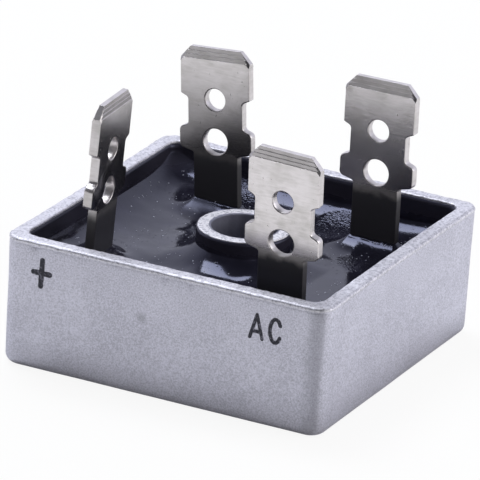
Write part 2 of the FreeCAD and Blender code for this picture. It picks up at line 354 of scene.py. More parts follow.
def bowed(point, settings):
    """The point moved inward with the side walls' bow."""
    half = CASE_HIGH.x
    along = max(0.0, 1 - (point.y / half) ** 2)
    share_of_bow = along * (point.z / CASE_HIGH.z) ** 2 * (point.x / half) ** 4
    return point - Vector((math.copysign(settings.bow * share_of_bow, point.x), 0, 0))


# Case

CASE_PER_SIDE, CASE_PER_CORNER = 132, 16
BASE_STEPS, WALL_STEPS = 8, 14
WALL_TOP_DROP = 0.62 * MM

# Insets and drops below the rim or the post's top, in millimetres
INNER_RIM = ((0.26, 0), (0.16, 0), (0.06, 0.02), (0.015, 0.07), (0, 0.14), (0, 3.2))
POST_TOP = ((0, 2.6), (0, 0.1), (0.02, 0.04), (0.07, 0), (0.15, 0))
BORE_TOP = ((0.2, 0), (0.12, 0), (0.05, 0.02), (0.01, 0.07), (0, 0.14))
# Widening and height over the base
BORE_FOOT = ((0, 0.34), (0.03, 0.29), (0.29, 0.02), (0.34, 0), (0.7, 0))

FRONT_SMUDGE = (-1.74 * MM, -14.25 * MM, 6.73 * MM)
FRONT_SMUDGE_REACH = (0.25 * MM, 0.85 * MM)


def case_profile(settings):
    """(kind, half width or radius, corner radius, height) round the case's section."""
    top = CASE_HIGH.z
    base_half = CASE_HIGH.x - 2 * settings.flare
    cavity = CASE_HIGH.x - settings.flare - settings.wall
    corner, base_radius = settings.corner_radius, settings.base_radius
    profile = []

    def outer(inset, z):
        half = base_half + 2 * settings.flare * z / top - inset
        profile.append(("square", half, max(corner - inset, 0.1 * MM), z))

    def circle(radius, z):
        profile.append(("circle", radius, 0, z))

    outer(base_radius + 0.35 * MM, 0)
    for i in range(BASE_STEPS + 1):
        at = math.pi / 2 * i / BASE_STEPS
        outer(base_radius * (1 - math.sin(at)), base_radius * (1 - math.cos(at)))
    wall_height = top - WALL_TOP_DROP - base_radius
    for i in range(1, WALL_STEPS + 1):
        outer(0, base_radius + wall_height * i / WALL_STEPS)

    # Groove, burred lip and rounded edge of the rim
    groove, lip, rim = settings.groove, settings.lip, settings.rim_radius
    for inset, drop in ((0.2 * groove, 0.5), (0.8 * groove, 0.42), (groove, 0.36), (-0.3 * lip, 0.32),
                        (-lip, 0.26), (-0.8 * lip, 0.17), (0.1 * rim, 0.1), (0.9 * rim, 0.05),
                        (1.9 * rim, 0.014), (2.8 * rim, 0), (3.6 * rim, 0)):
        outer(inset, top - drop * MM)

    inner_corner = settings.inner_corner_radius
    for inset, drop in INNER_RIM:
        profile.append(("square", cavity + inset * MM, inner_corner + inset * MM, top - drop * MM))
    profile.append(("square", cavity, inner_corner, settings.floor))

    post, bore = settings.post_radius, settings.bore_radius
    post_top = top - settings.post_drop
    circle(post, settings.floor)
    for inset, drop in POST_TOP:
        circle(post - inset * MM, post_top - drop * MM)
    for inset, drop in BORE_TOP:
        circle(bore + inset * MM, post_top - drop * MM)
    for widening, z in BORE_FOOT:
        circle(bore + widening * MM, z * MM)
    return profile


def case_loops(settings):
    """Loops of points round the case, one for each step of its profile."""
    loops = []
    lip_zone = CASE_HIGH.z - 0.6 * MM
    post_zone = CASE_HIGH.z - 0.9 * MM
    rough = settings.unevenness
    full_circle = rounded_square(CASE_HIGH.x, CASE_HIGH.x / 2, CASE_PER_SIDE, CASE_PER_CORNER)
    for kind, size, corner, z in case_profile(settings):
        if kind == "square":
            flat = rounded_square(size, corner, CASE_PER_SIDE, CASE_PER_CORNER)
        else:
            flat = circle_like(size, full_circle)
        loop = []
        for at in flat:
            point = Vector((at.x, at.y, z))
            outwards = Vector((at.x, at.y, 0)).normalized()
            slow = noise.noise(point / (4.5 * MM))
            quick = noise.noise(point / (0.9 * MM)) + 1.2 * noise.noise(point / (0.4 * MM))
            if kind == "square" and z > 0:
                point += outwards * slow * rough
            if kind == "circle" and z > post_zone:
                point += outwards * quick * 0.9 * rough
            if z > lip_zone:
                point += outwards * min(quick, 0.4) * 0.8 * rough
                point.z = min(point.z + (1.1 * quick - 0.4) * rough, CASE_HIGH.z)
            loop.append(bowed(point, settings))
        loops.append(loop)
    return loops


def blasted_metal(settings):
    """Matte blasted aluminium, finely speckled, with painted shade near the base, and rubbed clean on the
    rim.
    """
    material, tree, shader, at = new_material("blasted_aluminium")
    x, y, z = tree.apart(at)
    speckle = tree.noise(at, settings.grain, 2.0, 0.7)
    mottle = tree.noise(at, 4 * settings.grain, 2.0)
    patches = tree.noise(at, 30 * settings.grain, 2.0)
    lightness = tree.plus(tree.times(speckle, 1.8), tree.times(mottle, 0.25), tree.times(patches, 0.4))
    tone = tree.mix(tree.step(lightness, 0.75, 1.6), tuple(settings.shade), tuple(settings.metal))

    # Painted shade darkening the foot, scuffed front right edge and one smudge on the front
    painted_base_shade = tree.step(z, 0.2 * MM, 3.4 * MM, 0.24, 0.0)
    tone = tree.mix(painted_base_shade, tone, scaled(0.55, settings.shade))
    ragged_x = tree.plus(x, tree.times(tree.noise(at, 1.4 * MM, 3.0), 2.2 * MM))
    front = tree.step(y, -14.0 * MM, -13.6 * MM, 0.45, 0.0)
    scuff = tree.times(tree.step(ragged_x, 13.2 * MM, 14.6 * MM), front)
    tone = tree.mix(scuff, tone, scaled(0.5, settings.shade))
    from_smudge = tree.plus(tree.distance(at, FRONT_SMUDGE), tree.times(mottle, 0.3 * MM))
    smudge = tree.step(from_smudge, *FRONT_SMUDGE_REACH, 0.4, 0.0)
    tone = tree.mix(smudge, tone, scaled(0.4, settings.shade))

    # Rim, rubbed clean and pitted
    rim = tree.step(z, CASE_HIGH.z - 0.42 * MM, CASE_HIGH.z - 0.25 * MM)
    pits = tree.step(tree.noise(at, 0.24 * MM, 3.0, 0.7, 5.0), 0.4, 0.52, 0.7, 0.0)
    tone = tree.mix(tree.times(rim, 0.4), tone, tuple(settings.worn))
    tone = tree.mix(tree.times(rim, pits, 0.7), tone, scaled(0.7, settings.shade))

    # Top of the post, with painted shade on the wall of its bore inside a ragged edge
    from_axis = tree.from_axis(at)
    ragged = tree.plus(from_axis, tree.times(tree.noise(at, 0.4 * MM, 3.0, 0.6), 0.4 * MM))
    post = settings.post_radius
    ring = tree.step(from_axis, post + 0.1 * MM, post + 0.2 * MM, 1.0, 0.0)
    tone = tree.mix(tree.times(ring, 0.75), tone, tree.mix(pits, (0.92, 0.90, 0.90), (0.3, 0.3, 0.33)))
    bore_edge = settings.bore_radius + 0.36 * MM
    bore = tree.step(ragged, bore_edge, bore_edge + 0.03 * MM, 1.0, 0.0)
    tree.feed(shader.inputs["Base Color"], tree.mix(bore, tone, tuple(settings.inside)))

    shader.inputs["Metallic"].default_value = 1.0
    rough = tree.plus(settings.roughness - 0.08, tree.times(mottle, 0.16))
    rough = tree.plus(rough, tree.times(rim, 0.1), tree.times(ring, 0.15))
    tree.feed(shader.inputs["Roughness"], rough)
    fine = tree.bump(speckle, 0.02 * MM, 0.35)
    dents = tree.cells(at, 1.6 * settings.grain)
    tree.feed(shader.inputs["Normal"], tree.bump(dents, 0.02 * MM, 0.3, fine))
    return material


class RECTIFIER_OT_case(bpy.types.Operator):
    """Builds the extruded case with its lip, bowed walls and hollow post"""

    bl_idname = "rectifier.case"
    bl_label = "Case"

    def execute(self, context):
        settings = context.scene.rectifier_case
        loops = case_loops(settings)
        case = mesh_object("case_body", [point for loop in loops for point in loop], closed_band(loops))
        case.data.materials.append(blasted_metal(settings))
        finish_piece(case, "case", "case")
        return {"FINISHED"}


# Potting

POTTING_PER_SIDE, POTTING_PER_CORNER, POTTING_STEPS = 84, 12, 110
IS_SURFACE = "is_surface"
CREASE = 0.05 * MM

# Zones of the surface: X and Y of the middle and reach, in millimetres
CRINKLED = ((3.8, 10.2, 3.0), (8.4, 4.6, 2.4), (-6.0, 11.5, 2.4))
DULLED = (-7.2, 6.3, 1.9)


def potting_base(settings, case_settings):
    """Flat ring from post to walls with its closed underside, and which points are its surface."""
    level = CASE_HIGH.z - settings.drop
    cavity = CASE_HIGH.x - case_settings.flare - case_settings.wall
    inner_corner = case_settings.inner_corner_radius
    bury = 0.03 * MM
    film_top = CASE_HIGH.z - settings.film_drop
    bottom = case_settings.floor + 0.1 * MM
    outer = rounded_square(cavity - settings.film, inner_corner, POTTING_PER_SIDE, POTTING_PER_CORNER)
    inner = circle_like(case_settings.post_radius + settings.film, outer)
    loops, surface = [], []

    def add(points, z, is_surface):
        loops.append([Vector((at.x, at.y, z)) for at in points])
        surface.extend([float(is_surface)] * len(points))

    buried_post = circle_like(case_settings.post_radius - bury, outer)
    buried_wall = rounded_square(cavity + bury, inner_corner, POTTING_PER_SIDE, POTTING_PER_CORNER)
    add(buried_wall, bottom, False)
    add(buried_post, bottom, False)
    add(buried_post, CASE_HIGH.z - case_settings.post_drop - 0.1 * MM, False)
    for k in range(POTTING_STEPS + 1):
        way = (1 - math.cos(math.pi * k / POTTING_STEPS)) / 2
        add([a.lerp(b, way) for a, b in zip(inner, outer)], level, True)
    add(buried_wall, film_top, False)
    return loops, surface


def fading_rise(tree, distance, reach, rise):
    """Height of a curve that falls off evenly with distance."""
    way = tree.math("DIVIDE", tree.math("MAXIMUM", distance, 0.0), reach)
    return tree.times(rise, tree.math("EXPONENT", tree.times(way, -1.0)))


def steep_rise(tree, distance, reach, rise):
    """Height of a quarter ellipse that starts flat at reach and stands upright at no distance."""
    near = tree.math("SUBTRACT", 1.0, tree.math("DIVIDE", distance, reach), clamp=True)
    flatness = tree.math("SQRT", tree.math("SUBTRACT", 1.0, tree.times(near, near), clamp=True))
    return tree.times(rise, tree.math("SUBTRACT", 1.0, flatness))


def open_group(name, numbers):
    """(node group, its tree, its inputs): a geometry, named numbers, a seed and a material."""
    group = bpy.data.node_groups.new(name, "GeometryNodeTree")
    group.is_modifier = True
    group.interface.new_socket("Geometry", in_out="OUTPUT", socket_type="NodeSocketGeometry")
    kinds = {"Geometry": "Geometry", **{number: "Float" for number in numbers}, "Seed": "Int",
             "Material": "Material"}
    for socket, kind in kinds.items():
        group.interface.new_socket(socket, in_out="INPUT", socket_type=f"NodeSocket{kind}")
    tree = Tree(group)
    return group, tree, tree.node("NodeGroupInput").outputs


def close_group(tree, geometry, material):
    """Ends a geometry tree in real geometry with its material."""
    real = tree.node("GeometryNodeRealizeInstances", {0: geometry})
    painted = tree.node("GeometryNodeSetMaterial", {"Geometry": real.outputs[0], "Material": material})
    tree.node("NodeGroupOutput", {0: painted.outputs[0]})


def wall_distance(tree, across, given):
    """Distance to the rounded wall: corner circles in the corners, flat walls elsewhere."""
    flat_half = tree.math("SUBTRACT", given["Wall"], given["Wall Corner"])
    ends = [tree.math("SUBTRACT", way, flat_half) for way in across]
    past = [tree.math("MAXIMUM", end, 0.0) for end in ends]
    corner_way = tree.math("SQRT", tree.plus(*[tree.times(way, way) for way in past]))
    inside = tree.math("MINIMUM", tree.math("MAXIMUM", *ends), 0.0)
    return tree.math("SUBTRACT", given["Wall Corner"], tree.plus(corner_way, inside))


def stem_distance(group, tree):
    """Distance to the nearest tab."""
    stems = tree.node("GeometryNodeJoinGeometry")
    for name in TAB_NODES:
        info = tree.node("GeometryNodeObjectInfo", {"Object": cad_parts[name]})
        group.links.new(info.outputs["Geometry"], stems.inputs[0])
    near = tree.node("GeometryNodeProximity", {0: stems.outputs[0]}, target_element="FACES")
    return near.outputs["Distance"]


def surface_tree():
    """Geometry nodes that raise the potting's surface to walls, post and stems."""
    group, tree, given = open_group("potting_surface", (
        "Wall", "Wall Corner", "Wall Reach", "Wall Rise", "Film Reach", "Film Rise", "Post", "Post Reach",
        "Post Rise", "Post Top", "Stem Reach", "Stem Rise", "Tilt", "Ripple", "Ripple Size"))
    position = tree.node("GeometryNodeInputPosition").outputs[0]
    x, y = tree.apart(position)[:2]
    across = [tree.math("ABSOLUTE", part) for part in (x, y)]
    wall = wall_distance(tree, across, given)
    post = tree.math("SUBTRACT", tree.from_axis(position), given["Post"])
    stem = stem_distance(group, tree)

    inputs = {"Vector": position, "W": given["Seed"], "Detail": 0.5,
              "Scale": tree.math("DIVIDE", 1.0, given["Ripple Size"])}
    slow = tree.node("ShaderNodeTexNoise", inputs, noise_dimensions="4D").outputs[0]
    swing = tree.plus(0.7, tree.times(slow, 0.6))
    leftward = tree.math("DIVIDE", x, tree.times(given["Wall"], -1.0))
    curves = [fading_rise(tree, tree.math("SUBTRACT", given["Wall"], way), given["Wall Reach"],
                          given["Wall Rise"]) for way in across]
    tilt = tree.times(given["Tilt"], leftward)
    post_curve = fading_rise(tree, post, tree.times(given["Post Reach"], swing), given["Post Rise"])
    stem_curve = fading_rise(tree, stem, tree.times(given["Stem Reach"], swing), given["Stem Rise"])
    ripple = tree.times(tree.math("SUBTRACT", slow, 0.5), tree.times(given["Ripple"], 2.0))
    total = tree.plus(*curves, tilt, post_curve, stem_curve, ripple)
    for film in (steep_rise(tree, wall, given["Film Reach"], given["Film Rise"]),
                 steep_rise(tree, post, given["Film Reach"], given["Post Top"])):
        total = tree.math("MAXIMUM", total, film)
    total = tree.math("MINIMUM", total, given["Film Rise"])

    mask = tree.node("GeometryNodeInputNamedAttribute", {"Name": IS_SURFACE}, data_type="FLOAT").outputs[0]
    offset = tree.node("ShaderNodeCombineXYZ", {"Z": tree.times(total, mask)}).outputs[0]
    moved = tree.node("GeometryNodeSetPosition", {"Geometry": given["Geometry"], "Offset": offset})
    close_group(tree, moved.outputs[0], given["Material"])
    return group


def speck_tree():
    """Geometry nodes that scatter low specks over the upward faces of a surface."""
    group, tree, given = open_group("potting_specks", ("Radius", "Density", "Lowest"))
    normal = tree.node("GeometryNodeInputNormal").outputs[0]
    position = tree.node("GeometryNodeInputPosition").outputs[0]
    upward = tree.math("GREATER_THAN", tree.apart(normal)[2], 0.8)
    high = tree.math("GREATER_THAN", tree.apart(position)[2], given["Lowest"])
    crowd = tree.step(tree.noise(position, 4 * MM, 1.0), 0.35, 0.7, 0.25, 1.6)
    spread = tree.node("GeometryNodeDistributePointsOnFaces",
                       {"Mesh": given["Geometry"], "Density": tree.times(given["Density"], crowd),
                        "Selection": tree.times(upward, high), "Seed": given["Seed"]})
    ball = tree.node("GeometryNodeMeshIcoSphere", {"Radius": given["Radius"], "Subdivisions": 2})
    random_size = tree.node("FunctionNodeRandomValue", {2: 0.3, 3: 1.0, "Seed": given["Seed"]},
                            data_type="FLOAT")
    size = random_size.outputs[1]
    low = tree.node("ShaderNodeCombineXYZ", {"X": size, "Y": size, "Z": tree.times(size, 0.6)})
    placed = tree.node("GeometryNodeInstanceOnPoints",
                       {"Points": spread.outputs["Points"], "Instance": ball.outputs["Mesh"],
                        "Rotation": spread.outputs["Rotation"], "Scale": low.outputs[0]})
    close_group(tree, placed.outputs[0], given["Material"])
    return group


def grow(piece, group, values):
    """Runs a geometry tree on a piece with its named inputs set, and bakes the result."""
    modifier = piece.modifiers.new(group.name, "NODES")
    modifier.node_group = group
    for item in group.interface.items_tree:
        if item.in_out == "INPUT" and item.name in values:
            modifier[item.identifier] = values[item.name]
    return bake(piece)


def cured_epoxy(settings):
    """Glossy black epoxy with faint dust, pimples, wrinkles in patches and crinkled and dulled zones."""
    material, tree, shader, at = new_material("cured_epoxy")
    height = tree.apart(at)[2]
    cloud = tree.noise(at, 2.5 * MM, 3.0)
    base = tree.mix(tree.step(cloud, 0.4, 0.8), tuple(settings.black), scaled(2.2, settings.black))
    ragged = tree.plus(height, tree.times(cloud, 0.8 * MM))
    film = tree.step(ragged, CASE_HIGH.z - 1.9 * MM, CASE_HIGH.z - 0.9 * MM)
    tree.feed(shader.inputs["Base Color"], tree.mix(film, base, tuple(settings.film_tone)))

    dusty = tree.times(tree.step(tree.noise(at, 0.5 * MM, 2.0), 0.45, 0.75), 0.07)
    x, y, reach = DULLED
    from_dulled = tree.from_axis(at, x * MM, y * MM)
    dulled = tree.step(from_dulled, 0.6 * reach * MM, reach * MM, 0.22, 0.0)
    rough = tree.plus(dusty, tree.times(film, 0.22), dulled)
    tree.feed(shader.inputs["Roughness"], tree.plus(settings.roughness, rough))
    shader.inputs["IOR"].default_value = 1.475
    shader.inputs["Specular Tint"].default_value = (*settings.sheen, 1.0)

    patchy = tree.step(tree.noise(at, 2.2 * MM, 1.0, 0.5, 4.0), 0.5, 0.7, 0.05, 1.0)
    wrinkles = tree.times(tree.noise(at, 0.85 * MM, 1.0, 0.4), patchy)
    wrinkled = tree.bump(wrinkles, 0.02 * MM, 0.5)
    pimples = tree.step(tree.cells(at, 0.42 * MM), 0.0, 0.24, 1.0, 0.0)
    pimpled = tree.bump(pimples, 0.012 * MM, 0.5, wrinkled)
    zone = 0.0
    for x, y, reach in CRINKLED:
        way = tree.plus(tree.from_axis(at, x * MM, y * MM), tree.times(cloud, 1.6 * MM))
        crinkled = tree.step(way, (reach - 0.3) * MM, (reach + 0.6) * MM, 1.0, 0.0)
        zone = tree.math("MAXIMUM", zone, crinkled)
    crinkles = tree.times(tree.noise(at, 0.3 * MM, 2.0, 0.6), zone)
    tree.feed(shader.inputs["Normal"], tree.bump(crinkles, 0.12 * MM, 1.0, pimpled))
    return material


def epoxy_dust(settings):
    """Pale specks, partly dust and partly painted glints of small bubbles."""
    material, tree, shader, at = new_material("epoxy_dust")
    tone = tree.step(tree.noise(at, 0.6 * MM), 0.3, 0.7)
    tree.feed(shader.inputs["Base Color"],
              tree.mix(tone, scaled(0.45, settings.dust_and_glint), tuple(settings.dust_and_glint)))
    shader.inputs["Roughness"].default_value = 0.35
    return material


class RECTIFIER_OT_potting(bpy.types.Operator):
    """Pours the potting with its curves up walls, post and tabs, and the specks in its surface"""

    bl_idname = "rectifier.potting"
    bl_label = "Potting"

    def execute(self, context):
        settings, case_settings = context.scene.rectifier_potting, context.scene.rectifier_case
        loops, surface = potting_base(settings, case_settings)
        points = [point for loop in loops for point in loop]
        potting = mesh_object("potting_fill", points, closed_band(loops))
        mask = potting.data.attributes.new(IS_SURFACE, "FLOAT", "POINT")
        mask.data.foreach_set("value", surface)
        cavity = CASE_HIGH.x - case_settings.flare - case_settings.wall
        rise = settings.drop - settings.film_drop
        epoxy = cured_epoxy(settings)
        grow(potting, surface_tree(), {
            "Wall": cavity - settings.film, "Wall Corner": case_settings.inner_corner_radius,
            "Wall Reach": settings.wall_reach, "Wall Rise": settings.wall_rise,
            "Film Reach": settings.film_reach, "Film Rise": rise,
            "Post": case_settings.post_radius + settings.film, "Post Reach": settings.post_reach,
            "Post Rise": settings.post_rise,
            "Post Top": settings.drop - case_settings.post_drop - CREASE,
            "Stem Reach": settings.stem_reach, "Stem Rise": settings.stem_rise, "Tilt": settings.tilt,
            "Ripple": settings.ripple, "Ripple Size": settings.ripple_size, "Seed": 3, "Material": epoxy})
        for vertex in potting.data.vertices:
            vertex.co = bowed(vertex.co, case_settings)
        potting.data.update()

        specks = link_mesh("potting_specks", potting.data.copy())
        grow(specks, speck_tree(), {
            "Radius": settings.speck_radius, "Density": settings.specks * 1e4, "Seed": 5,
            "Lowest": CASE_HIGH.z - settings.drop - 0.5 * MM, "Material": epoxy_dust(settings)})
        finish_piece(potting, "potting", "potting")
        finish_piece(specks, "potting")
        return {"FINISHED"}


# Tabs

ROLLED = (0.12, 0.12, 1.0)
COINED_SLOT, SHEARED_SLOT = 1, 2
MERGE_DISTANCE, FLAT_ANGLE = 0.002 * MM, math.radians(1)
BEVEL_ANGLE, CORNER_ANGLE = math.radians(28), math.radians(60)
LEAST_TURN, MOST_TURN = math.radians(2), math.radians(32)
CURVED_EDGE = 0.6 * MM
TIP_BEVEL_SHARE = 0.18


def tin_plating(settings, name, brightness, roughness, soiling_and_shade=1.0):
    """Satin tin plating with rolling lines, dull patches, small scuffs, painted shade on the left and back
    tabs and smeared potting.
    """
    material, tree, shader, at = new_material(name)
    x, y, z = tree.apart(at)
    lines = tree.noise(tree.stretched(at, ROLLED), 0.16 * MM, 3.0, 0.6)
    patches = tree.noise(at, 1.5 * MM, 3.0, 0.6)
    wear = tree.step(tree.plus(tree.times(patches, 0.6), tree.times(lines, 0.4)), 0.35, 0.72)
    tone = tree.mix(wear, scaled(brightness, settings.plating), scaled(brightness, settings.dull))
    spots = tree.step(tree.noise(at, 0.32 * MM, 2.0, 0.5, 7.0), 0.69, 0.75)
    rare = tree.step(tree.noise(at, 2.2 * MM, 1.0, 0.5, 2.0), 0.52, 0.64)
    tone = tree.mix(tree.times(spots, rare), tone, tuple(settings.scuff))

    # Painted shade that darkens the reflections of the left and back tabs, and potting smeared up the stems
    ragged = tree.plus(z, tree.times(patches, 1.2 * MM))
    left = tree.step(x, -3.0 * MM, 3.0 * MM, 0.8, 0.0)
    back = tree.step(y, 0.0, 3.0 * MM, 0.0, 0.35)
    fading = tree.step(ragged, settings.smear_high, settings.painted_tab_shade_high, 1.0, 0.0)
    painted_tab_shade = tree.times(tree.math("MAXIMUM", left, back), fading, soiling_and_shade)
    tone = tree.mix(painted_tab_shade, tone, tuple(settings.painted_tab_shade))
    smear = tree.step(ragged, settings.smear_low, settings.smear_high, 0.95 + 0.05 * soiling_and_shade, 0.0)
    tree.feed(shader.inputs["Base Color"], tree.mix(smear, tone, tuple(settings.smear)))
    tree.feed(shader.inputs["Metallic"], tree.math("SUBTRACT", 1.0, smear))

    rough = tree.plus(roughness, tree.times(patches, 0.14), tree.times(smear, 0.2), tree.times(spots, 0.25))
    tree.feed(shader.inputs["Roughness"], rough)
    rolled = tree.bump(lines, 0.004 * MM, 0.5)
    tree.feed(shader.inputs["Normal"], tree.bump(patches, 0.03 * MM, 0.25, rolled))
    return material


def blade_tip(work):
    """Middle and direction of the face at a blade's tip."""
    upward = [face for face in work.faces if face.normal.z > 0.9]
    tip = max(upward, key=lambda face: face.calc_center_median().z)
    return tip.calc_center_median(), tip.normal.copy()


def weigh_edges(work, length_below_tip):
    """Bevel weights of a blade's sharp edges, small ones in the coined zone at its tip."""
    weights = work.edges.layers.float.new("bevel_weight_edge")
    top, upright = blade_tip(work)
    for edge in work.edges:
        if len(edge.link_faces) == 2 and edge.calc_face_angle() > BEVEL_ANGLE:
            near_tip = any((top - end.co).dot(upright) < length_below_tip for end in edge.verts)
            edge[weights] = TIP_BEVEL_SHARE if near_tip else 1.0


def next_along(edge, corner):
    """Point one edge length on along a curved outline past one of its corners, or None."""
    way = (corner.co - edge.other_vert(corner).co).normalized()
    for other in corner.link_edges:
        if other is not edge and other.calc_face_angle(0) > CORNER_ANGLE:
            onward = (other.other_vert(corner).co - corner.co).normalized()
            if LEAST_TURN < way.angle(onward) < MOST_TURN:
                return corner.co + onward * edge.calc_length()
    return None


def round_outlines(work):
    """Halves the edges of round outlines, with the new points on the curve."""
    middles = {}
    for edge in work.edges:
        if edge.calc_face_angle(0) > CORNER_ANGLE and edge.calc_length() < CURVED_EDGE:
            first, last = edge.verts
            before, after = next_along(edge, first), next_along(edge, last)
            if before and after:
                middles[edge] = (9 * (first.co + last.co) - before - after) / 16
    added = set()
    for edge, middle in middles.items():
        vertex = bmesh.utils.edge_split(edge, edge.verts[0], 0.5)[1]
        vertex.co = middle
        added.add(vertex)
    for face in list(work.faces):
        new = [vertex for vertex in face.verts if vertex in added]
        if len(face.verts) == 6 and len(new) == 2:
            bmesh.utils.face_split(face, new[0], new[1])


def mark_slots(work, length_below_tip):
    """Gives the coined steps below a blade's tip and its sheared sides their own material slots."""
    top, upright = blade_tip(work)
    broad = max(work.faces, key=lambda face: face.calc_area()).normal
    for face in work.faces:
        below = (top - face.calc_center_median()).dot(upright)
        if abs(face.normal.dot(broad)) < 0.35:
            face.material_index = SHEARED_SLOT
        elif below < length_below_tip and abs(face.normal.dot(upright)) < 0.5:
            face.material_index = COINED_SLOT


def blade_copy(node, materials, coined):
    """Copy of a tab with doubles merged, flat faces whole, round outlines finer, slots and weights."""
    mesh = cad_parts[node].data.copy()
    mesh.materials.clear()
    for material in materials:
        mesh.materials.append(material)
    work = bmesh.new()
    work.from_mesh(mesh)
    bmesh.ops.remove_doubles(work, verts=work.verts, dist=MERGE_DISTANCE)
    bmesh.ops.dissolve_limit(work, angle_limit=FLAT_ANGLE, verts=work.verts, edges=work.edges)
    round_outlines(work)
    work.normal_update()
    mark_slots(work, coined)
    weigh_edges(work, coined + 0.05 * MM)
    work.to_mesh(mesh)
    work.free()
    return link_mesh(f"{node}_blade", mesh)


class RECTIFIER_OT_tabs(bpy.types.Operator):
    """Rounds the stamped edges of the blade tabs and plates them"""

    bl_idname = "rectifier.tabs"
    bl_label = "Tabs"

    def execute(self, context):
        settings = context.scene.rectifier_tabs
        rough = settings.roughness
        materials = (tin_plating(settings, "tin_plating", 1.0, rough),
                     # The coined steps get a darker colour, painted shade for their tilt
                     tin_plating(settings, "coined_tin", settings.coined_painted_shade, rough + 0.08),
                     tin_plating(settings, "cut_tin", 0.9, rough + 0.12, soiling_and_shade=0.0))
        for node in TAB_NODES:
            blade = blade_copy(node, materials, settings.coined)
            edges = blade.modifiers.new("edges", "BEVEL")
            edges.width = settings.edge
            edges.segments = 3
            edges.limit_method = "WEIGHT"
            edges.use_clamp_overlap = False
            edges.harden_normals = True
            bake(blade)
            finish_piece(blade, "tab", node)
        return {"FINISHED"}


# Pieces sealed in the potting

def plain_finish(name, dark, light, metallic, roughness, grain):
    """Two-tone finish with a fine grain."""
    material, tree, shader, at = new_material(name)
    tone = tree.noise(at, grain, 3.0)
    tree.feed(shader.inputs["Base Color"], tree.mix(tree.step(tone, 0.3, 0.7), dark, light))
    shader.inputs["Metallic"].default_value = metallic
    tree.feed(shader.inputs["Roughness"], tree.plus(roughness, tree.times(tone, 0.1)))
    tree.feed(shader.inputs["Normal"], tree.bump(tone, 0.01 * MM, 0.4))
    return material


class RECTIFIER_OT_bridge(bpy.types.Operator):
    """Finishes the ceramic, copper, silicon and solder pieces under the potting"""

    bl_idname = "rectifier.bridge"
    bl_label = "Sealed bridge"

    def execute(self, context):
        ceramic = plain_finish("fired_alumina", (0.78, 0.77, 0.73), (0.86, 0.85, 0.81), 0.0, 0.55, 0.3 * MM)
        copper = plain_finish("bare_copper", (0.62, 0.33, 0.22), (0.76, 0.45, 0.31), 1.0, 0.3, 0.4 * MM)
        silicon = plain_finish("polished_silicon", (0.17, 0.18, 0.21), (0.22, 0.23, 0.27),
                               0.6, 0.15, 0.5 * MM)
        solder = plain_finish("dull_solder", (0.48, 0.48, 0.49), (0.6, 0.6, 0.61), 1.0, 0.4, 0.25 * MM)
        finishes = {name: ceramic for name in CERAMIC_NODES}
        finishes.update({name: copper for name in COPPER_NODES})
        finishes.update({name: silicon for name in SILICON_NODES})
        finishes.update({name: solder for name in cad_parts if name.startswith("solder_")})
        for name, finish in finishes.items():
            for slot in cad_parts[name].material_slots:
                slot.material = finish
        return {"FINISHED"}


# Printed marks

# X and height on the front wall, in millimetres
PLUS_MIDDLE = (-10.75, 8.46)
PLUS_UPRIGHT, PLUS_ACROSS, PLUS_LEAN = 2.2, 1.45, 0.04
LETTER_A = (((7.74, 7.38), (8.28, 9.34)), ((8.28, 9.34), (8.82, 7.38)), ((7.93, 7.93), (8.64, 7.93)))
LETTER_C_MIDDLE, LETTER_C_RADII = (9.93, 8.32), (0.47, 0.98)
LETTER_C_ENDS, LETTER_C_STEPS = (math.radians(32), math.radians(328)), 28
# Width of the C's stroke as a share of the A's
LETTER_C_STROKE = 1.12
# How deep the ink starts in the wall, and how much each further stroke lies above the one before it
SUNK, CROSSING_LIFT = 0.02 * MM, 0.001 * MM
ROUND_END = tuple(math.radians(degrees) for degrees in (-60, -30, 0, 30, 60))
# How much a stroke's width varies along it, and over what length
WIDTH_SWING, WIDTH_WAVE = 0.12, 0.25 * MM
# Share of the wall's waves that the print stands clear of
CLEAR_OF_WAVES = 0.35


def stroke(work, points, width, lift, front):
    """Flat ribbon with round ends along (x, z) points on the front wall."""
    half = width / 2
    path = [Vector(point) * MM for point in points]
    left, right = [], []
    for i, here in enumerate(path):
        way = (path[min(i + 1, len(path) - 1)] - path[max(i - 1, 0)]).normalized()
        side = Vector((-way.y, way.x))
        uneven = 1 + WIDTH_SWING * noise.noise(Vector((here.x, here.y, lift)) / WIDTH_WAVE)
        left.append(here + side * half * uneven)
        right.append(here - side * half * uneven)
    start = (path[0] - path[1]).normalized() * half
    end = (path[-1] - path[-2]).normalized() * half
    caps = []
    for tip, reach in ((path[-1], end), (path[0], start)):
        turn = Vector((-reach.y, reach.x))
        caps.append([tip + reach * math.cos(at) - turn * math.sin(at) for at in ROUND_END])
    ring = left + caps[0] + right[::-1] + caps[1]
    lower = [work.verts.new(front(at, 0)) for at in ring]
    upper = [work.verts.new(front(at, lift)) for at in ring]
    count = len(ring)
    work.faces.new(upper)
    work.faces.new(lower[::-1])
    for i in range(count):
        j = (i + 1) % count
        work.faces.new((lower[i], lower[j], upper[j], upper[i]))


def even_points(start, end, count=8):
    """Points at even steps from start to end."""
    return [tuple(a + (b - a) * i / count for a, b in zip(start, end)) for i in range(count + 1)]


def printed_ink(settings):
    """Dark ink that thins out in places."""
    material, tree, shader, at = new_material("printed_ink")
    worn = tree.step(tree.noise(at, 0.2 * MM, 3.0, 0.7), 0.52, 0.64)
    tree.feed(shader.inputs["Base Color"], tree.mix(worn, tuple(settings.ink), tuple(settings.faded)))
    shader.inputs["Roughness"].default_value = 0.55
    tree.feed(shader.inputs["Normal"], tree.bump(worn, 0.01 * MM, 0.4))
    return material


